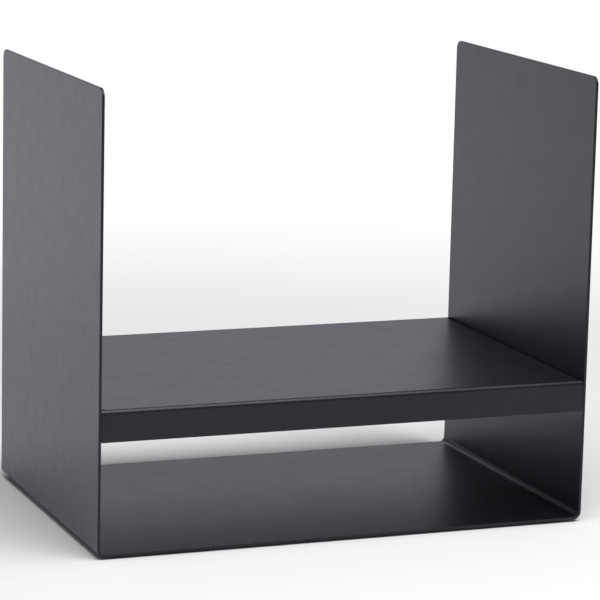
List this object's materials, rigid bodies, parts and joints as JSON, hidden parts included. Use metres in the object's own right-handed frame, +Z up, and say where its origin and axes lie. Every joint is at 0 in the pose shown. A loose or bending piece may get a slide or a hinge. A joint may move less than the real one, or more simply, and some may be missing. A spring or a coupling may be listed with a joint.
{
  "type": "log holder",
  "caption": "Free-standing log holder bent from black sheet steel: upright sides, a flanged shelf that carries the wood, and an open bay below it.",
  "frame": {"origin": "on the floor, under the middle of the base", "axes": "+X from the left side to the right side, +Y from the front to the back, +Z up"},
  "size_m": [0.455, 0.3, 0.402],
  "materials": {
    "black_powder_coat": "satin black powder coat with a fine orange-peel texture",
    "stud_steel": "plain machined steel",
    "zinc_plate": "bright zinc plate",
    "rubber": "matt black rubber"
  },
  "bodies": {
    "root": {"bent_shell": "black_powder_coat", "shelf_tray": "black_powder_coat", "weld_stud_left_front": "stud_steel", "weld_stud_left_rear": "stud_steel", "weld_stud_right_front": "stud_steel", "weld_stud_right_rear": "stud_steel", "washer_left_front": "zinc_plate", "washer_left_rear": "zinc_plate", "washer_right_front": "zinc_plate", "washer_right_rear": "zinc_plate", "cap_nut_left_front": "zinc_plate", "cap_nut_left_rear": "zinc_plate", "cap_nut_right_front": "zinc_plate", "cap_nut_right_rear": "zinc_plate", "floor_pad_left_front": "rubber", "floor_pad_left_rear": "rubber", "floor_pad_right_front": "rubber", "floor_pad_right_rear": "rubber"}
  },
  "joints": []
}
